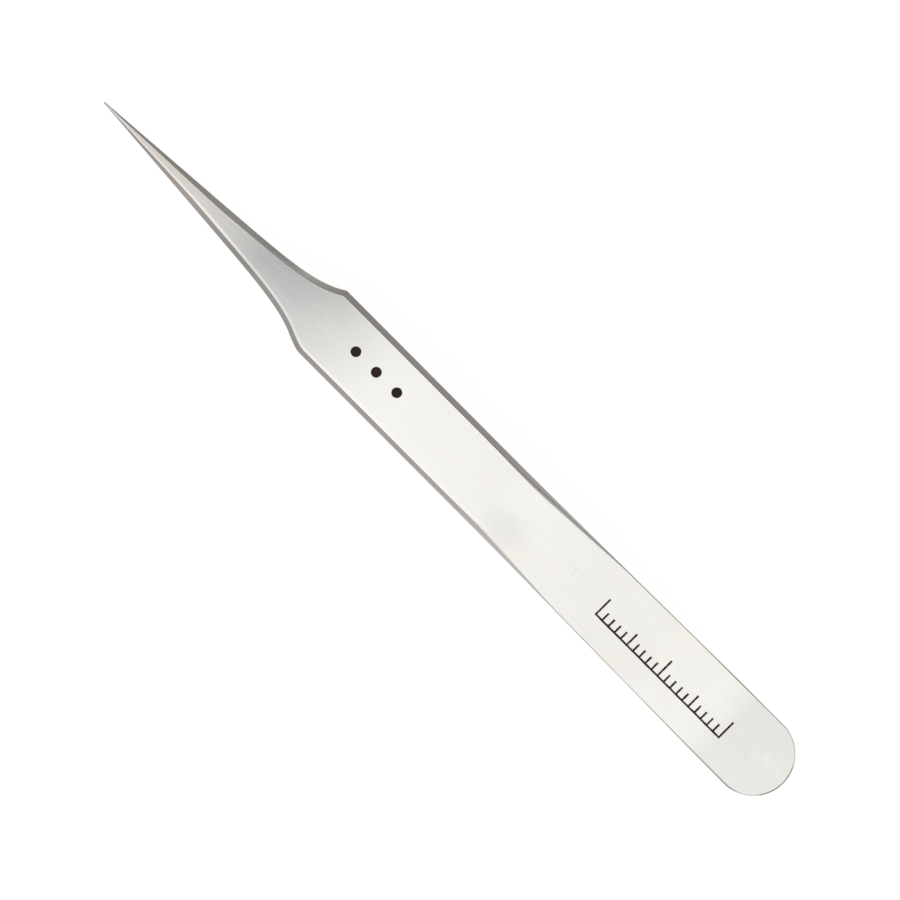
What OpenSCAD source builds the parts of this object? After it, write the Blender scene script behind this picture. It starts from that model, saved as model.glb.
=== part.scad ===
// Ultra fine tweezers: two ground steel arms, laid face to face and welded at the tail.
// The part lies on the outer face of its lower arm, with the points towards -X.
// The origin is under the middle of the part, on the surface that it lies on.

/* [Plan outline] */
// Length of each arm, from the point to the round tail
length = 110; // [105:1:120]
// Width of the flat at the very point
tip_w = 0.16; // [0.08:0.02:0.3]
// Distance from the point back to the shoulder
point_len = 34.7; // [30:0.1:38]
// Width that the straight taper alone would reach at the shoulder
neck_w = 5.35; // [4:0.05:6]
// Length over which the taper flares out into the shoulder on the +Y side
flare_len_a = 3; // [2.4:0.1:4.5]
// Length over which it flares out on the -Y side
flare_len_b = 3; // [2.2:0.1:4.5]
// How much further back the shoulder is on the -Y side
shoulder_lag_b = 0.25; // [0:0.05:0.5]
// Width of the handle behind the shoulder
handle_w = 8.9; // [8:0.02:10]
// Width of the handle at its widest, near the tail
tail_w = 9.64; // [8.9:0.02:10]
// How much more than half of that width the radius of the round end is
tail_fullness = 0.02; // [0.02:0.02:0.4]
// Distance from the tail's end at which the handle starts to widen
widen_from = 50; // [44:1:60]
// Distance from the tail's end at which it has its full width
widen_to = 5; // [4:0.5:10]
// Softness of the ground shoulder corner on the +Y side
shoulder_soft_a = 0.1; // [0.05:0.05:0.8]
// Softness of the ground shoulder corner on the -Y side
shoulder_soft_b = 0.8; // [0.05:0.05:1]

/* [Side profile] */
// Thickness of an arm along its handle
handle_t = 1.6; // [1.4:0.05:2]
// Thickness of an arm in its thin spring at the tail
spring_t = 0.65; // [0.55:0.05:0.9]
// Thickness of an arm at the very point
tip_t = 0.09; // [0.06:0.01:0.2]
// Distance from the point at which the hollow of the neck begins
hollow_from = 12; // [10:0.5:16]
// Distance from the point at which the handle has its full thickness
hollow_to = 43; // [38:0.5:48]
// Thickness that a straight taper adds over that distance, and the hollow adds the rest
point_rise = 0.75; // [0.6:0.05:1]
// Softness of the bend where the point's thickness meets the handle's
hollow_soft = 0.05; // [0.02:0.01:0.1]
// Distance from the tail's end at which the handle starts to thin
thin_from = 45.5; // [42:0.5:50]
// Distance from the tail's end at which it has thinned to the spring
thin_to = 18; // [16:0.5:24]
// Softness of the two bends where the thinning starts and ends
thin_soft = 0.05; // [0.02:0.01:0.1]
// Length of the welded tail
weld_len = 10; // [8:0.5:14]
// Angle that each arm stands away from the weld's plane
splay = 2.46; // [2.3:0.02:2.7]
// Gap between the two points at rest
tip_gap = 8; // [7:0.25:9]

/* [Edges] */
// Width of the ground bevel on the +Y edge of the outer face
bevel_a = 0.65; // [0.4:0.05:0.8]
// Width of the ground bevel on the -Y edge of the outer face
bevel_b = 0.54; // [0.4:0.02:0.8]
// Most of the arm's width that one bevel takes near the point
bevel_share = 0.23; // [0.15:0.01:0.3]
// Most of the arm's thickness that a bevel takes
bevel_depth_share = 0.6; // [0.4:0.05:0.7]
// Narrow edge break that is left of the bevel on the thin tail
edge_break = 0.12; // [0.05:0.01:0.2]

/* [Hidden] */

STEEL = [0.86, 0.86, 0.84];
// Spacing of the sections along the point, the shoulder, the curved stretches and the handle
POINT_STEP = 1.5;
SHOULDER_STEP = 0.3;
BEND_STEP = 2.5;
HANDLE_STEP = 7;
// How far the shoulder's close sections reach ahead of it and behind it
SHOULDER_AHEAD = 5;
SHOULDER_BEHIND = 1.5;
// Angle between sections round the tail, and the last one's angle
TAIL_STEP = 6;
TAIL_END = 88.5;
// Corners of one section
CORNERS = 6;

flare = (handle_w - neck_w) / 2;
handle_back = length - thin_from;
// Radius and centre of the tail's round end, and the angle at which it takes over from the sides
tail_r = tail_w / 2 + tail_fullness;
tail_c = length - tail_r;
tail_start = acos(tail_w / 2 / tail_r);
rise = tan(splay);
// Height of the inner face above the weld's plane at the shoulder, by the splay alone
shoulder_gap = rise * (length - point_len - weld_len);
// How far the point bends back inwards from the splay's straight line
bow = shoulder_gap + rise * point_len - tip_gap / 2;
// Distance from the weld's plane to the handle's outer face, carried back to the tail's end
rest_offset = handle_t - rise * weld_len;
reach = length * cos(splay) + (tip_gap / 2 + tip_t) * sin(splay);
half_reach = (reach - spring_t * sin(splay)) / 2;

// The smaller of two values, with their crossing rounded off by k
function soft_min(a, b, k) = min(a, b) - pow(max(k - abs(a - b), 0), 2) / (4 * k);
function soft_max(a, b, k) = -soft_min(-a, -b, k);
function held(s) = min(max(s, 0), 1);
// An even rise from 0 to 1 that starts and ends level
function ease(s) = 3 * pow(held(s), 2) - 2 * pow(held(s), 3);

// Half widths at a distance d from the point
function flare_out(d, flare_len, lag) = flare * exp((d - point_len - lag) / flare_len);
function taper_half(d, flare_len, lag) =
    tip_w / 2 + (neck_w - tip_w) / 2 * d / point_len + flare_out(d, flare_len, lag);
function taper_slope(d, flare_len, lag) =
    (neck_w - tip_w) / 2 / point_len + flare_out(d, flare_len, lag) / flare_len;
function side_half(d) =
    handle_w / 2
    + (tail_w - handle_w) / 2 * ease((d - length + widen_from) / (widen_from - widen_to));
function edge_half(d, soft, flare_len, lag) =
    soft_min(taper_half(d, flare_len, lag), side_half(d), soft);

// Thickness of an arm at a distance d from the point
function point_thickness(d) =
    tip_t
    + point_rise * d / hollow_to
    + (handle_t - tip_t - point_rise) * ease((d - hollow_from) / (hollow_to - hollow_from));
function thinning(d) =
    soft_min(
        soft_max((d - handle_back) / (thin_from - thin_to) * (handle_t - spring_t), 0, thin_soft),
        handle_t - spring_t,
        thin_soft
    );
function thickness(d) = soft_min(point_thickness(d), handle_t, hollow_soft) - thinning(d);

// Heights above the weld's plane at a distance d from the point
function bowed_in(d) = bow * pow(held(1 - d / point_len), 2);
function inner_z(d) = max(rise * (length - weld_len - d), 0) - bowed_in(d);
function outer_z(d) = inner_z(d) + thickness(d);

// Width and depth of a bevel at a distance d from the point
function bevel_width(d, full) =
    max(
        min(full, bevel_share * least_width(d)) - thinning(d),
        min(edge_break, bevel_share * least_width(d))
    );
function least_width(d) = 2 * min(taper_half(d, flare_len_a, 0), side_half(d));
function bevel_depth(d, full) = min(bevel_width(d, full), bevel_depth_share * thickness(d));

// Half width of the flat between the bevels
function flat_half(d, soft, flare_len, lag, full) =
    soft_min(
        taper_half(d, flare_len, lag)
            - bevel_width(d, full) * sqrt(1 + pow(taper_slope(d, flare_len, lag), 2)),
        side_half(d) - bevel_width(d, full),
        soft
    );

// One section of an arm: the two inner corners, then the outer ones from +Y round to -Y
function section(d, half_a, half_b, flat_d, flat_a, flat_b) = [
    [d - length, -half_b, inner_z(d)],
    [d - length, half_a, inner_z(d)],
    [d - length, half_a, outer_z(d) - bevel_depth(d, bevel_a)],
    [flat_d - length, flat_a, outer_z(flat_d)],
    [flat_d - length, -flat_b, outer_z(flat_d)],
    [d - length, -half_b, outer_z(d) - bevel_depth(d, bevel_b)]
];
function straight_section(d) =
    section(
        d,
        edge_half(d, shoulder_soft_a, flare_len_a, 0),
        edge_half(d, shoulder_soft_b, flare_len_b, shoulder_lag_b),
        d,
        flat_half(d, shoulder_soft_a, flare_len_a, 0, bevel_a),
        flat_half(d, shoulder_soft_b, flare_len_b, shoulder_lag_b, bevel_b)
    );
function round_section(angle) =
    section(
        tail_c + tail_r * sin(angle),
        tail_r * cos(angle),
        tail_r * cos(angle),
        tail_c + (tail_r - edge_break) * sin(angle),
        (tail_r - edge_break) * cos(angle),
        (tail_r - edge_break) * cos(angle)
    );

// Even steps of at most step from a up to b, without b itself
function steps(a, b, step) =
    let (n = ceil((b - a) / step))
    [for (i = [0:n - 1]) a + (b - a) * i / n];

places = concat(
    steps(0, point_len - SHOULDER_AHEAD, POINT_STEP),
    steps(point_len - SHOULDER_AHEAD, point_len + SHOULDER_BEHIND, SHOULDER_STEP),
    steps(point_len + SHOULDER_BEHIND, hollow_to + BEND_STEP, BEND_STEP),
    steps(hollow_to + BEND_STEP, handle_back - BEND_STEP, HANDLE_STEP),
    steps(handle_back - BEND_STEP, length - weld_len, BEND_STEP),
    steps(length - weld_len, tail_c + tail_r * sin(tail_start), BEND_STEP)
);
sections = concat(
    [for (d = places) straight_section(d)],
    [for (angle = steps(tail_start, TAIL_END, TAIL_STEP)) round_section(angle)],
    [round_section(TAIL_END)]
);

// A closed skin through a row of sections, with a flat cap on each end
module skin(rows) {
    points = [for (row = rows) for (p = row) p];
    last = (len(rows) - 1) * CORNERS;
    walls = [
        for (i = [0:len(rows) - 2])
            for (j = [0:CORNERS - 1])
                let (
                    a = i * CORNERS + j,
                    b = i * CORNERS + (j + 1) % CORNERS,
                    c = b + CORNERS,
                    e = a + CORNERS
                )
                each [[a, c, b], [a, e, c]]
    ];
    front = [for (j = [1:CORNERS - 2]) [0, j, j + 1]];
    back = [for (j = [1:CORNERS - 2]) [last, last + j + 1, last + j]];
    polyhedron(points, concat(front, walls, back));
}

// Turns the part so that the lower arm's handle lies flat on the surface
module laid_down() {
    translate([half_reach, 0, rest_offset * cos(splay)])
        rotate([0, splay, 0])
            children();
}

module upper_arm() {
    color(STEEL)
        laid_down()
            skin(sections);
}

module lower_arm() {
    color(STEEL)
        laid_down()
            mirror([0, 0, 1])
                skin(sections);
}

upper_arm();
lower_arm();
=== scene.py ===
"""Looks of the ultra fine tweezers: two ground steel arms, welded at the tail, seen from above.

Lengths are millimetres where nothing else is said. A distance d runs from the point to the tail.
"""

import math

import bpy
from mathutils import Matrix, Vector

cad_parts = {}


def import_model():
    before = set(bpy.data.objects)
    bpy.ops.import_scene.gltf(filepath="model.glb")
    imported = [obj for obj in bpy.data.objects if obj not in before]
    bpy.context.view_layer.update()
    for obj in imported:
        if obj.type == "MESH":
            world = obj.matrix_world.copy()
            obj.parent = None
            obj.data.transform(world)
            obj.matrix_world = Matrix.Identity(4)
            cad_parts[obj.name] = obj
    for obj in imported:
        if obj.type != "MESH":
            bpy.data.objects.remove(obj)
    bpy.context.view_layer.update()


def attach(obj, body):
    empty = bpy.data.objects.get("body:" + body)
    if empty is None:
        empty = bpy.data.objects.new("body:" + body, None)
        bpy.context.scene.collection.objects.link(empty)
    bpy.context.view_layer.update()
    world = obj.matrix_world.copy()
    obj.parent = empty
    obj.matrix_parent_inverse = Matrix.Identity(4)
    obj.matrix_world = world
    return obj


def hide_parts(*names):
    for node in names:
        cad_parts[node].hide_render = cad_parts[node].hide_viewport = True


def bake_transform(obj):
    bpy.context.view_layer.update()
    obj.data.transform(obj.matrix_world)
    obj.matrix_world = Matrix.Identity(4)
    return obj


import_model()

MM = 0.001

# Plan outline of an arm
LENGTH = 110
TIP_W = 0.16
POINT_LEN = 34.7
NECK_W = 5.35
FLARE_LEN_A = 3.0
FLARE_LEN_B = 3.0
SHOULDER_LAG_B = 0.25
HANDLE_W = 8.9
TAIL_W = 9.64
TAIL_FULLNESS = 0.02
WIDEN_FROM = 50
WIDEN_TO = 5
SHOULDER_SOFT_A = 0.1
SHOULDER_SOFT_B = 0.8

# Side profile of an arm
HANDLE_T = 1.6
SPRING_T = 0.65
TIP_T = 0.09
HOLLOW_FROM = 12
HOLLOW_TO = 43
POINT_RISE = 0.75
HOLLOW_SOFT = 0.05
THIN_FROM = 45.5
THIN_TO = 18
THIN_SOFT = 0.05
WELD_LEN = 10
SPLAY = math.radians(2.46)
TIP_GAP = 8

# Ground bevels of the outer face, and the edge break that is left of them on the thin tail
BEVEL_A = 0.65
BEVEL_B = 0.54
BEVEL_SHARE = 0.23
BEVEL_DEPTH_SHARE = 0.6
EDGE_BREAK = 0.12

# Small rounds on the edges: their size, the most of a surface's width that one takes, the distance
# of the points that keep the surface flat beside it, and its own points from side to side
EDGE_ROUND = 0.05
ROUND_SHARE = 0.3
SUPPORT_SHARE = 1.6
ROUND_POINTS = (0, 0.35, 0.65, 1)

# The stretch where the bevels fade out: the face's roll-off ends there, and the bevels' inner edges
# grow rounder by this much
FADE_FROM = 58
FADE_LEN = 12
FADE_ROUND = 0.2

# Crown of the outer face, which is fullest at the neck, and its roll-off by each bevel
CROWN_RADIUS = 120
CROWN_LEAST = 0.15
CROWN_MIDDLE = 26
CROWN_HALF = 16
ROLL_REACH = 0.3
ROLL_SHARE = 0.2
ROLL_DROP_A = -0.003
ROLL_DROP_B = 0.028
ROLL_POINTS = (0.5, 1)
FACE_POINTS = 5

# Least width over which the grain is spread where the arm is narrow
FLOW_LEAST = 3.2

# The very point: places of its closing sections and their size
NOSE = ((0.04, 1.0), (0.012, 0.8), (0, 0.45))

# Spacing of the sections, and the angle between those round the tail
POINT_STEP = 0.6
SHOULDER_STEP = 0.12
HANDLE_STEP = 1.5
TAIL_STEP = math.radians(3)
TAIL_END = math.radians(88.5)
SHOULDER_AHEAD = 5
SHOULDER_BEHIND = 1.5

# Values that follow from those above
FLARE = (HANDLE_W - NECK_W) / 2
HANDLE_BACK = LENGTH - THIN_FROM
TAIL_R = TAIL_W / 2 + TAIL_FULLNESS
TAIL_C = LENGTH - TAIL_R
TAIL_START = math.acos(TAIL_W / 2 / TAIL_R)
RISE = math.tan(SPLAY)
BOW = RISE * (LENGTH - WELD_LEN) - TIP_GAP / 2
REST_OFFSET = HANDLE_T - RISE * WELD_LEN
REACH = LENGTH * math.cos(SPLAY) + (TIP_GAP / 2 + TIP_T) * math.sin(SPLAY)
HALF_REACH = (REACH - SPRING_T * math.sin(SPLAY)) / 2

# The surfaces between the six corners of a section, in the corners' order, and the surface that
# the round of each corner belongs to
SURFACES = ("inner", "side", "bevel_a", "outer", "bevel_b", "side")
ROUNDS = ("inner", "side", "bevel_a", "bevel_a", "bevel_b", "bevel_b")
INNER_B = 0
INNER_A = 1
OUTER_A = 3
OUTER_B = 4
CORNER_POINTS = len(ROUND_POINTS) + 2


def soft_min(a, b, k):
    """The smaller of two values, with their crossing rounded off by k."""
    return min(a, b) - max(k - abs(a - b), 0) ** 2 / (4 * k)


def held(s):
    return min(max(s, 0), 1)


def ease(s):
    """An even rise from 0 to 1 that starts and ends level."""
    return 3 * held(s) ** 2 - 2 * held(s) ** 3


def flare_out(d, flare_len, lag):
    return FLARE * math.exp((d - POINT_LEN - lag) / flare_len)


def taper_half(d, flare_len=FLARE_LEN_A, lag=0):
    """Half width of the point, which flares out into the shoulder."""
    return TIP_W / 2 + (NECK_W - TIP_W) / 2 * d / POINT_LEN + flare_out(d, flare_len, lag)


def taper_slope(d, flare_len, lag):
    return (NECK_W - TIP_W) / 2 / POINT_LEN + flare_out(d, flare_len, lag) / flare_len


def side_half(d):
    share = ease((d - LENGTH + WIDEN_FROM) / (WIDEN_FROM - WIDEN_TO))
    return HANDLE_W / 2 + (TAIL_W - HANDLE_W) / 2 * share


def thinning(d):
    """How much thinner than the handle an arm is, towards its tail."""
    full = HANDLE_T - SPRING_T
    ramp = (d - HANDLE_BACK) / (THIN_FROM - THIN_TO) * full
    return soft_min(-soft_min(-ramp, 0, THIN_SOFT), full, THIN_SOFT)


def thickness(d):
    hollow = ease((d - HOLLOW_FROM) / (HOLLOW_TO - HOLLOW_FROM))
    point = TIP_T + POINT_RISE * d / HOLLOW_TO + (HANDLE_T - TIP_T - POINT_RISE) * hollow
    return soft_min(point, HANDLE_T, HOLLOW_SOFT) - thinning(d)


def inner_z(d):
    return max(RISE * (LENGTH - WELD_LEN - d), 0) - BOW * held(1 - d / POINT_LEN) ** 2


def outer_z(d):
    return inner_z(d) + thickness(d)


def bevel_width(d, full):
    most = BEVEL_SHARE * 2 * min(taper_half(d), side_half(d))
    return max(min(full, most) - thinning(d), min(EDGE_BREAK, most))


def bevel_depth(d, full):
    return min(bevel_width(d, full), BEVEL_DEPTH_SHARE * thickness(d))


def flat_half(d, soft, flare_len, lag, full):
    """Half width of the outer face between its bevels."""
    bevel = bevel_width(d, full)
    slant = math.sqrt(1 + taper_slope(d, flare_len, lag) ** 2)
    return soft_min(taper_half(d, flare_len, lag) - bevel * slant, side_half(d) - bevel, soft)


def section(d, half_a, half_b, flat_d, flat_a, flat_b):
    """Six corners: the two inner ones, then the outer ones from +Y round to -Y."""
    return [
        Vector((d, -half_b, inner_z(d))),
        Vector((d, half_a, inner_z(d))),
        Vector((d, half_a, outer_z(d) - bevel_depth(d, BEVEL_A))),
        Vector((flat_d, flat_a, outer_z(flat_d))),
        Vector((flat_d, -flat_b, outer_z(flat_d))),
        Vector((d, -half_b, outer_z(d) - bevel_depth(d, BEVEL_B))),
    ]


def straight_section(d):
    side_a = (SHOULDER_SOFT_A, FLARE_LEN_A, 0)
    side_b = (SHOULDER_SOFT_B, FLARE_LEN_B, SHOULDER_LAG_B)
    half_a, half_b = (
        soft_min(taper_half(d, flare_len, lag), side_half(d), soft)
        for soft, flare_len, lag in (side_a, side_b)
    )
    return section(
        d, half_a, half_b, d, flat_half(d, *side_a, BEVEL_A), flat_half(d, *side_b, BEVEL_B)
    )


def round_section(angle):
    """A section of the tail's round end, where the edge break follows the arc."""
    across = TAIL_R * math.cos(angle)
    flat = TAIL_R - EDGE_BREAK
    flat_across = flat * math.cos(angle)
    along = TAIL_C + TAIL_R * math.sin(angle)
    flat_along = TAIL_C + flat * math.sin(angle)
    return section(along, across, across, flat_along, flat_across, flat_across)


def steps(a, b, step):
    """Even steps of at most step from a up to b, without b itself."""
    n = math.ceil((b - a) / step)
    return [a + (b - a) * i / n for i in range(n)]


def nose_sections():
    """The very point, rounded off by sections that shrink towards its middle."""
    rows = []
    for d, size in reversed(NOSE):
        row = straight_section(d)
        middle = sum(row, Vector()) / len(row)
        rows.append([middle + (p - middle) * size for p in row])
    return rows


def arm_sections():
    first = NOSE[0][0] + POINT_STEP
    shoulder = POINT_LEN - SHOULDER_AHEAD
    behind = POINT_LEN + SHOULDER_BEHIND
    places = steps(first, shoulder, POINT_STEP)
    places += steps(shoulder, behind, SHOULDER_STEP)
    places += steps(behind, LENGTH - WELD_LEN, HANDLE_STEP)
    places += steps(LENGTH - WELD_LEN, TAIL_C + TAIL_R * math.sin(TAIL_START), HANDLE_STEP)
    rows = nose_sections() + [straight_section(d) for d in places]
    rows += [round_section(a) for a in steps(TAIL_START, TAIL_END, TAIL_STEP)]
    return rows + [round_section(TAIL_END)]


def lowered(p, a, b):
    """A point of the outer face between its corners a and b, let down by crown and roll-off."""
    fullness = ease(1 - abs(p.x - CROWN_MIDDLE) / CROWN_HALF)
    crown = (CROWN_LEAST + (1 - CROWN_LEAST) * fullness) * p.y**2 / (2 * CROWN_RADIUS)
    reach = min(ROLL_REACH, ROLL_SHARE * (a - b).length)
    left = 1 - ease((p.x - FADE_FROM) / FADE_LEN)
    roll = left * sum(
        drop * reach / ROLL_REACH * held(1 - (p - corner).length / reach) ** 2
        for corner, drop in ((a, ROLL_DROP_A), (b, ROLL_DROP_B))
    )
    return p - Vector((0, 0, crown + roll))


def inward(corner, other):
    """From a corner of a face towards the other one, or towards the middle of the round end."""
    if corner.x > TAIL_C:
        return Vector((TAIL_C - corner.x, -corner.y, 0))
    return other - corner


def edge_round(d):
    """Size of the round on an inner edge of a bevel."""
    return EDGE_ROUND + FADE_ROUND * ease((d - FADE_FROM) / FADE_LEN)


def face_points(a, b):
    """Points across the outer face from corner a to corner b: close by the bevels, then even."""
    margin = SUPPORT_SHARE * min(edge_round(a.x), ROUND_SHARE * (b - a).length)
    start = a + inward(a, b).normalized() * margin
    end = b + inward(b, a).normalized() * margin
    width = (end - start).length
    edge = [min(ROLL_REACH, ROLL_SHARE * width) * share for share in ROLL_POINTS]
    even = (width - 2 * edge[-1]) / (FACE_POINTS + 1)
    middle = [edge[-1] + even * i for i in range(1, FACE_POINTS + 1)]
    places = edge + middle + [width - place for place in reversed(edge)]
    return [lowered(start + (end - start) * place / width, a, b) for place in places]


def softened(row):
    """Rounds each corner of a section, and gives the outer face its crown and roll-off."""
    a, b = row[OUTER_A], row[OUTER_B]
    row = [lowered(p, a, b) if i in (OUTER_A, OUTER_B) else p for i, p in enumerate(row)]
    points, surfaces = [], []
    for i, corner in enumerate(row):
        before = row[i - 1] - corner
        after = row[(i + 1) % len(row)] - corner
        if i in (INNER_A, OUTER_B):
            before = inward(corner, row[i - 1])
        if i in (INNER_B, OUTER_A):
            after = inward(corner, row[i + 1])
        size = edge_round(corner.x) if i in (OUTER_A, OUTER_B) else EDGE_ROUND
        size = min(size, ROUND_SHARE * before.length, ROUND_SHARE * after.length)
        back = before.normalized() * size
        on = after.normalized() * size
        points.append(corner + back * SUPPORT_SHARE)
        points += [corner + back * (1 - t) ** 2 + on * t**2 for t in ROUND_POINTS]
        points.append(corner + on * SUPPORT_SHARE)
        surfaces += [SURFACES[i - 1]] + [ROUNDS[i]] * (len(ROUND_POINTS) - 1) + [SURFACES[i]] * 2
        if i == OUTER_A:
            between = face_points(a, b)
            points += between
            surfaces += ["outer"] * len(between)
    return points, surfaces


def grain_flow(points, side):
    """Coordinates of the grain for one section's points: at the neck it follows the outline."""
    high = max(p.y for p in points)
    low = min(p.y for p in points)
    if points[0].x > LENGTH / 2:
        return [(p.x, p.y, p.z * side) for p in points]
    scale = HANDLE_W / max(high - low, FLOW_LEAST)
    return [(p.x, (p.y - (high + low) / 2) * scale, p.z * side) for p in points]


def laid_down(p, side):
    """From an arm's own axes to the part's, in metres. The side is 1 for the upper arm, else -1."""
    x, y, z = p.x - LENGTH, p.y, p.z * side
    cos, sin = math.cos(SPLAY), math.sin(SPLAY)
    lift = REST_OFFSET * cos
    return Vector((HALF_REACH + x * cos + z * sin, y, lift - x * sin + z * cos)) * MM


def tail_cap(surfaces):
    """Faces that close the round end, as points of the last section: a strip between its sides."""
    first = INNER_A * CORNER_POINTS
    last = (OUTER_A + 1) * CORNER_POINTS - 1
    mate = {j: (2 * first - 1 - j) % len(surfaces) for j in range(first, last + 1)}
    strip = [((j, j + 1, mate[j + 1], mate[j]), surfaces[j]) for j in range(first, last)]
    return strip + [(tuple(range(last, mate[last] + 1)), "outer")]


def skin(row_count, surfaces):
    """Faces from section to section and over both ends, and the surface that each belongs to."""
    count = len(surfaces)
    faces, kinds = [], []
    for i in range(row_count - 1):
        for j in range(count):
            a = i * count + j
            b = i * count + (j + 1) % count
            faces.append((a, b, b + count, a + count))
            kinds.append(surfaces[j])
    faces.append(tuple(reversed(range(count))))
    kinds.append("side")
    for cap, kind in tail_cap(surfaces):
        faces.append(tuple((row_count - 1) * count + j for j in cap))
        kinds.append(kind)
    return faces, kinds


def unfold(mesh, points):
    """Flat coordinates with the sides folded out, which give the shader its direction along the arm."""
    uv = mesh.uv_layers.new(name="grain")
    for loop in mesh.loops:
        p = points[loop.vertex_index]
        across = p.y - p.z if p.y > 0 else p.y + p.z
        uv.data[loop.index].uv = (p.x / LENGTH, 0.5 + across / LENGTH)


def arm(name, side, materials):
    """One arm as a closed mesh, nearly all quads, with the coordinates of its grain kept on it."""
    rows = [softened(row) for row in arm_sections()]
    points = [p for row, _ in rows for p in row]
    surfaces = rows[0][1]
    faces, kinds = skin(len(rows), surfaces)
    if side < 0:
        faces = [tuple(reversed(f)) for f in faces]
    mesh = bpy.data.meshes.new(name)
    mesh.from_pydata([laid_down(p, side) for p in points], [], faces)
    grain = mesh.attributes.new("grain_mm", "FLOAT_VECTOR", "POINT")
    flow = [place for row, _ in rows for place in grain_flow(row, side)]
    grain.data.foreach_set("vector", [c for place in flow for c in place])
    for material in materials.values():
        mesh.materials.append(material)
    slots = {kind: i for i, kind in enumerate(materials)}
    mesh.polygons.foreach_set("material_index", [slots[k] for k in kinds])
    mesh.polygons.foreach_set("use_smooth", [True] * len(faces))
    unfold(mesh, points)
    mesh.validate()
    mesh.update()
    made = bpy.data.objects.new(name, mesh)
    bpy.context.scene.collection.objects.link(made)
    return made


# Colour of the ground steel by the distance from the point, linear, with reflections and shade
# painted into it: a warm painted reflection at the point, painted shade, darker and cooler, where
# the neck is hollow, then light along the handle and a little duller at the tail
FACE_STEEL_AND_PAINTED_LIGHT = (
    (0.5, (0.9, 0.875, 0.85)),
    (4.5, (0.9, 0.85, 0.8)),
    (8.5, (0.9, 0.848, 0.785)),
    (11.5, (0.875, 0.85, 0.805)),
    (16, (0.93, 0.9, 0.865)),
    (20.5, (0.865, 0.862, 0.845)),
    (25, (0.735, 0.742, 0.74)),
    (31, (0.765, 0.772, 0.77)),
    (39, (0.92, 0.91, 0.88)),
    (48, (0.935, 0.925, 0.893)),
    (60, (0.9, 0.887, 0.855)),
    (75, (0.835, 0.82, 0.787)),
    (87, (0.815, 0.8, 0.767)),
    (91, (0.84, 0.825, 0.79)),
    (97, (0.87, 0.857, 0.823)),
    (101, (0.82, 0.81, 0.78)),
)

# The inner faces and the sides have one colour each
INNER_STEEL = (0.905, 0.893, 0.862)
SIDE_STEEL = (0.53, 0.497, 0.468)
INNER_TONES = ((0, INNER_STEEL), (LENGTH, INNER_STEEL))
SIDE_TONES = ((0, SIDE_STEEL), (LENGTH, SIDE_STEEL))

# The bevels' colours hold painted reflections: darker with painted shade up to where they fade out,
# and painted glints and shade by turns round the tail
BEVEL_A_STEEL_AND_PAINTED_LIGHT = (
    (1, (0.6, 0.58, 0.56)),
    (4, (0.48, 0.455, 0.43)),
    (12, (0.47, 0.445, 0.42)),
    (20, (0.56, 0.53, 0.5)),
    (27, (0.74, 0.705, 0.67)),
    (32, (0.58, 0.545, 0.515)),
    (36, (0.44, 0.415, 0.39)),
    (59, (0.5, 0.475, 0.45)),
    (65, (0.64, 0.61, 0.58)),
    (72, (0.78, 0.76, 0.73)),
    (80, (0.78, 0.76, 0.73)),
    (87, (0.9, 0.88, 0.84)),
    (93, (0.92, 0.9, 0.86)),
    (98, (0.57, 0.55, 0.52)),
    (102, (0.88, 0.86, 0.83)),
    (105, (0.98, 0.965, 0.94)),
    (109.2, (0.95, 0.93, 0.9)),
    (109.6, (0.42, 0.4, 0.385)),
)
# The -Y bevel, with its own painted shade and glints
BEVEL_B_STEEL_AND_PAINTED_LIGHT = (
    (1, (0.54, 0.51, 0.49)),
    (4, (0.44, 0.4, 0.378)),
    (12, (0.44, 0.397, 0.375)),
    (20, (0.525, 0.485, 0.46)),
    (34, (0.59, 0.55, 0.53)),
    (46, (0.61, 0.56, 0.54)),
    (58, (0.65, 0.6, 0.575)),
    (64, (0.74, 0.69, 0.66)),
    (69, (0.82, 0.785, 0.75)),
    (74, (0.8, 0.77, 0.74)),
    (82, (0.8, 0.77, 0.74)),
    (89, (0.92, 0.89, 0.85)),
    (98, (0.65, 0.62, 0.59)),
    (102, (0.46, 0.44, 0.42)),
    (106, (0.36, 0.34, 0.325)),
    (107.3, (0.88, 0.85, 0.82)),
    (108.7, (0.88, 0.85, 0.82)),
    (109.2, (0.4, 0.38, 0.365)),
)

# The etched marks, whose dark colour also paints the shade in the pit
MARK_STEEL = (0.05, 0.032, 0.036)
MARK_ROUGHNESS = 0.55

# Patterns in the steel, each as its waves to a millimetre along the arm and across it, its octaves
# of detail, and a shift that sets it apart from the others
STREAKS = ((0.14, 2.2, 2.2), 4, (0, 0, 0))
CLOUDS = ((0.16, 0.3, 0.3), 2, (7.3, 1.9, 4.1))
TINTS = ((0.22, 0.35, 0.35), 2, (1.7, 8.8, 2.6))
GRIT = ((1.2, 6, 6), 2, (3.1, 0.4, 8.2))
PATTERN_MIDDLE = 0.5

# The coolest and the warmest tint, as factors of the colour
COOL = (0.985, 1, 1.022)
WARM = (1.008, 1, 0.97)

# The streaks are stronger at the neck, by up to this share
NECK_MIDDLE = 29
NECK_REACH = 12
NECK_STREAKS = 1.3

# How much streaks and clouds change the tone, and the streaks' depth, on the wide surfaces and on
# the bevels
WIDE_GRAIN = (0.1, 0.0006)
BEVEL_GRAIN = (0.08, 0.0004)

# Roughness of each surface, and how much streaks and clouds change it
FACE_ROUGHNESS = 0.24
INNER_ROUGHNESS = 0.27
SIDE_ROUGHNESS = 0.36
BEVEL_ROUGHNESS = 0.32
ROUGHNESS_CHANGE = 0.05

# How far the highlight is spread across the streaks, and the part of a turn that lays it there
SPREAD = 0.4
SPREAD_TURN = 0.25

# Painted shade on the upper face where it slopes down to the thin tail: its middle and reach along
# the arm and across it, and how dark it is
SLOPE_SHADE_ALONG = (66.6, 4.2)
SLOPE_SHADE_ACROSS = (-2.3, 3.8)
SLOPE_SHADE_DARK = 0.1

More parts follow.
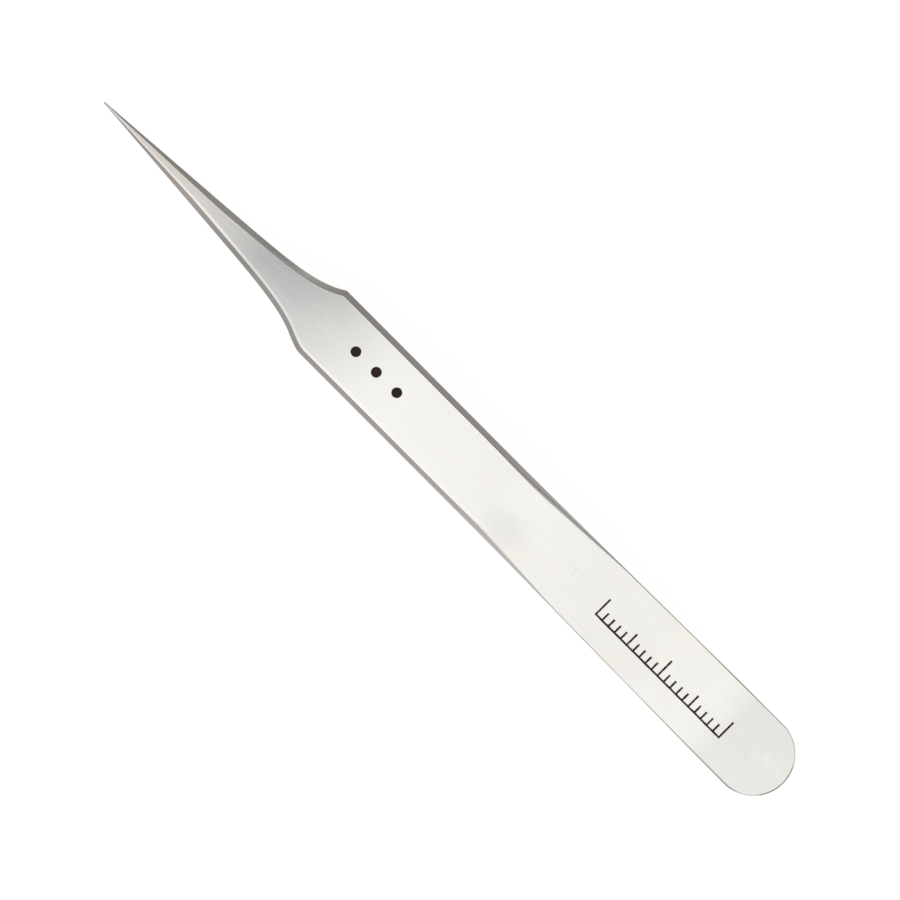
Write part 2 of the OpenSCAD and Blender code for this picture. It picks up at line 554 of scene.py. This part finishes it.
# One small pit there, as its place along and across and its radius, and the share of the marks'
# dark colour that paints shade in it
PIT = (75.8, 0.46, 0.07)
PIT_PAINTED_SHADE = 0.4

WHITE = (1, 1, 1, 1)

# Sockets of a colour Mix node
MIX_FACTOR = 0
MIX_FIRST = 6
MIX_SECOND = 7
MIX_RESULT = 2


class Nodes:
    """Short calls for the nodes of one material or world."""

    def __init__(self, material):
        material.use_nodes = True
        self.tree = material.node_tree
        self.tree.nodes.clear()

    def add(self, kind, inputs=None, **settings):
        made = self.tree.nodes.new(kind)
        for key, value in settings.items():
            setattr(made, key, value)
        for key, value in (inputs or {}).items():
            self.join(value, made.inputs[key])
        return made

    def math(self, operation, *values):
        made = self.add("ShaderNodeMath", dict(enumerate(values)), operation=operation)
        return made.outputs[0]

    def ramp(self, value, stops):
        """A colour that goes from stop to stop with a value."""
        made = self.add("ShaderNodeValToRGB", {"Fac": value})
        elements = made.color_ramp.elements
        while len(elements) < len(stops):
            elements.new(0.5)
        for element, (position, colour) in zip(elements, stops):
            element.position = position
            element.color = (*colour, 1)
        return made.outputs[0]

    def mix(self, factor, a, b):
        """A colour that goes from a to b with a factor."""
        made = self.add("ShaderNodeMix", data_type="RGBA")
        for socket, value in ((MIX_FACTOR, factor), (MIX_FIRST, a), (MIX_SECOND, b)):
            self.join(value, made.inputs[socket])
        return made.outputs[MIX_RESULT]

    def scale(self, colour, factor):
        made = self.add("ShaderNodeVectorMath", {0: colour, "Scale": factor}, operation="SCALE")
        return made.outputs[0]

    def multiply(self, a, b):
        """One colour times another."""
        return self.add("ShaderNodeVectorMath", {0: a, 1: b}, operation="MULTIPLY").outputs[0]

    def join(self, value, socket):
        """Links a socket to another node's output, or gives it a plain value."""
        if isinstance(value, bpy.types.NodeSocket):
            self.tree.links.new(value, socket)
        else:
            socket.default_value = value

    def seen_by(self, *kinds):
        """1 for the named kinds of light path, and 0 for the others."""
        paths = self.add("ShaderNodeLightPath").outputs
        seen = 0
        for kind in kinds:
            seen = self.math("MAXIMUM", paths[f"Is {kind} Ray"], seen)
        return seen


def noise(nodes, place, per_mm, detail, shift):
    """A pattern that is drawn out along the arm, from 0 to 1."""
    mapped = nodes.add("ShaderNodeMapping", {"Vector": place, "Scale": per_mm, "Location": shift})
    inputs = {"Vector": mapped.outputs[0], "Scale": 1, "Detail": detail}
    return nodes.add("ShaderNodeTexNoise", inputs).outputs[0]


def bell(nodes, value, middle, reach):
    """1 at the middle of a stretch, falling evenly to 0 at its ends."""
    off = nodes.math("DIVIDE", nodes.math("SUBTRACT", value, middle), reach)
    squared = nodes.math("MULTIPLY", off, off)
    return nodes.math("POWER", nodes.math("MAXIMUM", nodes.math("SUBTRACT", 1, squared), 0), 2)


def tinted(nodes, place, along, tones):
    """The steel's colour at each distance from the point, with faint patches of tint. On the upper face
    and the bevels that colour holds painted reflections and shade.
    """
    stops = [(d / LENGTH, colour) for d, colour in tones]
    shade = nodes.ramp(nodes.math("DIVIDE", along, LENGTH), stops)
    tint = nodes.mix(noise(nodes, place, *TINTS), (*COOL, 1), (*WARM, 1))
    return nodes.multiply(shade, tint)


def streaked(nodes, place, along, streaks):
    """Streaks and clouds together, as a value around 0."""
    neck = nodes.math("MULTIPLY_ADD", bell(nodes, along, NECK_MIDDLE, NECK_REACH), NECK_STREAKS, 1)
    fine = nodes.math("MULTIPLY", nodes.math("SUBTRACT", streaks, PATTERN_MIDDLE), neck)
    broad = nodes.math("SUBTRACT", noise(nodes, place, *CLOUDS), PATTERN_MIDDLE)
    return nodes.math("ADD", fine, broad)


def slope_shaded(nodes, along, across, level):
    """The steel's level, a little lower under the painted shade where the face slopes."""
    slope_shade = nodes.math(
        "MULTIPLY", bell(nodes, along, *SLOPE_SHADE_ALONG), bell(nodes, across, *SLOPE_SHADE_ACROSS)
    )
    return nodes.math("MULTIPLY", level, nodes.math("MULTIPLY_ADD", slope_shade, -SLOPE_SHADE_DARK, 1))


def ground_steel(name, tones, roughness, grain, marked=False):
    """Steel ground lengthwise: fine streaks, faint clouds, and a highlight spread across them."""
    tone_change, depth = grain
    material = bpy.data.materials.new(name)
    nodes = Nodes(material)
    place = nodes.add("ShaderNodeAttribute", attribute_name="grain_mm").outputs["Vector"]
    along, across, _ = nodes.add("ShaderNodeSeparateXYZ", {0: place}).outputs
    streaks = noise(nodes, place, *STREAKS)
    mixed = streaked(nodes, place, along, streaks)
    shade = tinted(nodes, place, along, tones)
    level = nodes.math("MULTIPLY_ADD", mixed, tone_change, 1)
    rough = nodes.math("MULTIPLY_ADD", mixed, ROUGHNESS_CHANGE, roughness)
    if marked:
        mask = marks(nodes, place, along, across)
        # Painted shade where the upper face slopes down to the thin tail
        shade = nodes.scale(shade, slope_shaded(nodes, along, across, level))
        # Dark etched marks, and painted shade in the pit
        shade = nodes.mix(mask, shade, (*MARK_STEEL, 1))
        rough = nodes.math("MULTIPLY_ADD", mask, MARK_ROUGHNESS - roughness, rough)
    else:
        shade = nodes.scale(shade, level)
    height = nodes.math("MULTIPLY", streaks, depth)
    bump = nodes.add("ShaderNodeBump", {"Height": height, "Strength": 1, "Distance": MM})
    tangent = nodes.add("ShaderNodeTangent", direction_type="UV_MAP", uv_map="grain")
    shader = nodes.add(
        "ShaderNodeBsdfPrincipled",
        {
            "Base Color": shade,
            "Roughness": rough,
            "Metallic": 1,
            "Anisotropic": SPREAD,
            "Anisotropic Rotation": SPREAD_TURN,
            "Normal": bump.outputs[0],
            "Tangent": tangent.outputs[0],
        },
    )
    nodes.add("ShaderNodeOutputMaterial", {"Surface": shader.outputs[0]})
    return material


# Three dark etched dots on the upper arm, behind the shoulder
DOTS_FROM = 40.4
DOT_PITCH = 3.3
DOT_COUNT = 3
DOT_LINE = 0.25
DOT_RADIUS = 0.62

# A plain millimetre scale etched at the tail, whose every fifth and tenth tick is longer
SCALE_FROM = 81
SCALE_TICKS = 21
SCALE_BASE = -1.5
TICK_PITCH = 1
TICK_HALF = 0.12
TICK_LENGTHS = ((1, 1.1), (5, 1.75), (10, 2.4))

# Softness and unevenness of the etched edges
ETCH_SOFT = 0.05
ETCH_ROUGH = 0.12


def inside(nodes, distance):
    """1 where a distance from an outline is negative, falling to 0 over a soft edge."""
    margin = nodes.math("DIVIDE", distance, -ETCH_SOFT)
    return nodes.add("ShaderNodeClamp", {"Value": nodes.math("ADD", margin, 0.5)}).outputs[0]


def away(nodes, value, middle, half):
    """How far a value lies outside a stretch of a given half length."""
    off = nodes.math("ABSOLUTE", nodes.math("SUBTRACT", value, middle))
    return nodes.math("SUBTRACT", off, half)


def nearest(nodes, along, start, pitch, count):
    """Number of the nearest in a row of evenly spaced marks, counted from 0."""
    whole = nodes.math("ROUND", nodes.math("DIVIDE", nodes.math("SUBTRACT", along, start), pitch))
    return nodes.math("MINIMUM", nodes.math("MAXIMUM", whole, 0), count - 1)


def dot(nodes, along, across, middle, line, radius):
    """Distance from the outline of a round dot."""
    aside = nodes.math("SUBTRACT", along, middle)
    lift = nodes.math("SUBTRACT", across, line)
    squares = nodes.math("MULTIPLY_ADD", lift, lift, nodes.math("MULTIPLY", aside, aside))
    return nodes.math("SUBTRACT", nodes.math("SQRT", squares), radius)


def ticks(nodes, along, across):
    """Distance from the outlines of the scale's ticks and its base line."""
    number = nearest(nodes, along, SCALE_FROM, TICK_PITCH, SCALE_TICKS)
    reach = 0
    for every, length in TICK_LENGTHS:
        due = nodes.math("LESS_THAN", nodes.math("MODULO", number, every), 0.5)
        reach = nodes.math("MAXIMUM", nodes.math("MULTIPLY", due, length / 2), reach)
    middle = nodes.math("MULTIPLY_ADD", number, TICK_PITCH, SCALE_FROM)
    lift = nodes.math("SUBTRACT", nodes.math("SUBTRACT", across, SCALE_BASE), reach)
    beyond = nodes.math("SUBTRACT", nodes.math("ABSOLUTE", lift), reach)
    tick = nodes.math("MAXIMUM", away(nodes, along, middle, TICK_HALF), beyond)
    half = (SCALE_TICKS - 1) * TICK_PITCH / 2
    base = nodes.math(
        "MAXIMUM",
        away(nodes, along, SCALE_FROM + half, half + TICK_HALF),
        away(nodes, across, SCALE_BASE, TICK_HALF),
    )
    return nodes.math("MINIMUM", tick, base)


def marks(nodes, place, along, across):
    """Mask of the etched marks, with edges that the grit eats into, and of the painted shade in the
    pit.
    """
    grit = nodes.math("SUBTRACT", noise(nodes, place, *GRIT), PATTERN_MIDDLE)
    eaten = nodes.math("MULTIPLY", grit, ETCH_ROUGH)
    number = nearest(nodes, along, DOTS_FROM, DOT_PITCH, DOT_COUNT)
    middle = nodes.math("MULTIPLY_ADD", number, DOT_PITCH, DOTS_FROM)
    dots = dot(nodes, along, across, middle, DOT_LINE, DOT_RADIUS)
    etched = nodes.math("MINIMUM", dots, ticks(nodes, along, across))
    mask = inside(nodes, nodes.math("ADD", etched, eaten))
    pit = inside(nodes, dot(nodes, along, across, *PIT))
    return nodes.math("MAXIMUM", mask, nodes.math("MULTIPLY", pit, PIT_PAINTED_SHADE))


def finishes():
    """The surface kinds of an arm and their materials."""
    return {
        "outer": ground_steel("face_steel", FACE_STEEL_AND_PAINTED_LIGHT, FACE_ROUGHNESS, WIDE_GRAIN),
        "inner": ground_steel("inner_steel", INNER_TONES, INNER_ROUGHNESS, WIDE_GRAIN),
        "side": ground_steel("side_steel", SIDE_TONES, SIDE_ROUGHNESS, WIDE_GRAIN),
        "bevel_a": ground_steel("bevel_a_steel", BEVEL_A_STEEL_AND_PAINTED_LIGHT, BEVEL_ROUGHNESS, BEVEL_GRAIN),
        "bevel_b": ground_steel("bevel_b_steel", BEVEL_B_STEEL_AND_PAINTED_LIGHT, BEVEL_ROUGHNESS, BEVEL_GRAIN),
    }


# Camera: its distance from the face and the width of its view in metres, the place on the arm that
# it looks at, along and across, and how far the picture is turned
CAMERA_AWAY = 0.6
VIEW_WIDTH = 0.10272
SENSOR = 36
VIEW_D = 55.91
VIEW_SIDE = -0.06
VIEW_TURN = math.radians(45.1)


def camera():
    """Looks down on the outer face of the upper arm, with the point at the upper left."""
    data = bpy.data.cameras.new("camera")
    data.sensor_width = SENSOR
    data.lens = SENSOR * CAMERA_AWAY / VIEW_WIDTH
    made = bpy.data.objects.new("camera", data)
    bpy.context.scene.collection.objects.link(made)
    target = laid_down(Vector((VIEW_D, VIEW_SIDE, outer_z(VIEW_D))), 1)
    back = Vector((math.sin(SPLAY), 0, math.cos(SPLAY)))
    along = Vector((math.cos(SPLAY), 0, -math.sin(SPLAY)))
    across = Vector((0, 1, 0))
    right = along * math.cos(VIEW_TURN) + across * math.sin(VIEW_TURN)
    up = -along * math.sin(VIEW_TURN) + across * math.cos(VIEW_TURN)
    columns = ((*right, 0), (*up, 0), (*back, 0), (*(target + back * CAMERA_AWAY), 1))
    made.matrix_world = Matrix(columns).transposed()
    bpy.context.scene.camera = made


# White table: its size and, also in metres, a drop that keeps it clear of the steel, its colour as
# it lights the steel, and as it is seen, the colour that takes the shadow and its own white
FLOOR_SIZE = 3
FLOOR_DROP = 0.05 * MM
FLOOR_COLOUR = (0.9, 0.9, 0.9, 1)
SHADOW_COLOUR = (0.12, 0.12, 0.12, 1)
FLOOR_OWN_WHITE = 0.94


def floor():
    """A white table top that still takes a faint shadow of the object."""
    size = FLOOR_SIZE / 2
    mesh = bpy.data.meshes.new("floor")
    corners = [(-size, -size), (size, -size), (size, size), (-size, size)]
    mesh.from_pydata([(x, y, -FLOOR_DROP) for x, y in corners], [], [(0, 1, 2, 3)])
    made = bpy.data.objects.new("floor", mesh)
    bpy.context.scene.collection.objects.link(made)
    material = bpy.data.materials.new("white_table")
    nodes = Nodes(material)
    seen = nodes.seen_by("Camera", "Glossy", "Transmission")
    plain = nodes.add("ShaderNodeBsdfDiffuse", {"Color": FLOOR_COLOUR})
    shadow = nodes.add("ShaderNodeBsdfDiffuse", {"Color": SHADOW_COLOUR})
    own = nodes.add("ShaderNodeEmission", {"Color": WHITE, "Strength": FLOOR_OWN_WHITE})
    white = nodes.add("ShaderNodeAddShader", {0: shadow.outputs[0], 1: own.outputs[0]})
    mixed = nodes.add("ShaderNodeMixShader", {0: seen, 1: plain.outputs[0], 2: white.outputs[0]})
    nodes.add("ShaderNodeOutputMaterial", {"Surface": mixed.outputs[0]})
    mesh.materials.append(material)


# Light from each direction: its level by height, from the level of the table to overhead
SKY = ((0.0, 0.2), (0.3, 0.32), (0.55, 0.62), (0.75, 0.68), (0.93, 1.15))
SKY_TINT = (1.0, 0.995, 0.985)

# Near overhead, less light from the picture's top than from its bottom: where the soft step lies,
# how low it goes, and how closely it keeps to overhead
STEP_FROM = -0.1
STEP_TO = 0.05
STEP_LOW = 0.14
STEP_POWER = 4

# More light from the -Y side lower down, and how closely that keeps to the table's level
SIDE_BIAS = 0.7
SIDE_POWER = 2


def world():
    """Soft light from all round, brightest overhead, and plain white where the camera sees it."""
    made = bpy.data.worlds.new("studio")
    bpy.context.scene.world = made
    made.use_nodes = True
    nodes = Nodes(made)
    place = nodes.add("ShaderNodeTexCoord").outputs["Generated"]
    xyz = nodes.add("ShaderNodeSeparateXYZ", {0: place}).outputs
    sky = nodes.ramp(xyz["Z"], [(z, [level * c for c in SKY_TINT]) for z, level in SKY])
    slant = nodes.math("MULTIPLY", nodes.math("SUBTRACT", xyz["X"], xyz["Y"]), math.sqrt(0.5))
    reach = {"From Min": STEP_FROM, "From Max": STEP_TO, "To Min": STEP_LOW, "To Max": 1}
    step = nodes.add(
        "ShaderNodeMapRange", {"Value": slant, **reach}, interpolation_type="SMOOTHSTEP"
    ).outputs[0]
    height = nodes.math("MAXIMUM", xyz["Z"], 0)
    overhead = nodes.math("POWER", height, STEP_POWER)
    stepped = nodes.math("MULTIPLY_ADD", overhead, nodes.math("SUBTRACT", step, 1), 1)
    low = nodes.math("POWER", nodes.math("SUBTRACT", 1, height), SIDE_POWER)
    side = nodes.math("MULTIPLY_ADD", nodes.math("MULTIPLY", xyz["Y"], low), -SIDE_BIAS, 1)
    level = nodes.math("MULTIPLY", stepped, side)
    seen = nodes.seen_by("Camera", "Transmission")
    light = nodes.add("ShaderNodeBackground", {"Color": sky, "Strength": level})
    white = nodes.add("ShaderNodeBackground", {"Color": WHITE, "Strength": 1})
    mixed = nodes.add("ShaderNodeMixShader", {0: seen, 1: light.outputs[0], 2: white.outputs[0]})
    nodes.add("ShaderNodeOutputWorld", {"Surface": mixed.outputs[0]})


camera()
floor()
world()

steel = finishes()
# The upper arm's face, with etched marks, and painted shade where it slopes and in the pit
marked_face = ground_steel("marked_steel", FACE_STEEL_AND_PAINTED_LIGHT, FACE_ROUGHNESS, WIDE_GRAIN, marked=True)
upper = arm("upper_arm_steel", 1, {**steel, "outer": marked_face})
lower = arm("lower_arm_steel", -1, steel)
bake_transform(upper)
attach(lower, "lower_arm")
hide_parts("upper_arm")
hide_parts("lower_arm")

bpy.context.scene.view_settings.view_transform = "Standard"
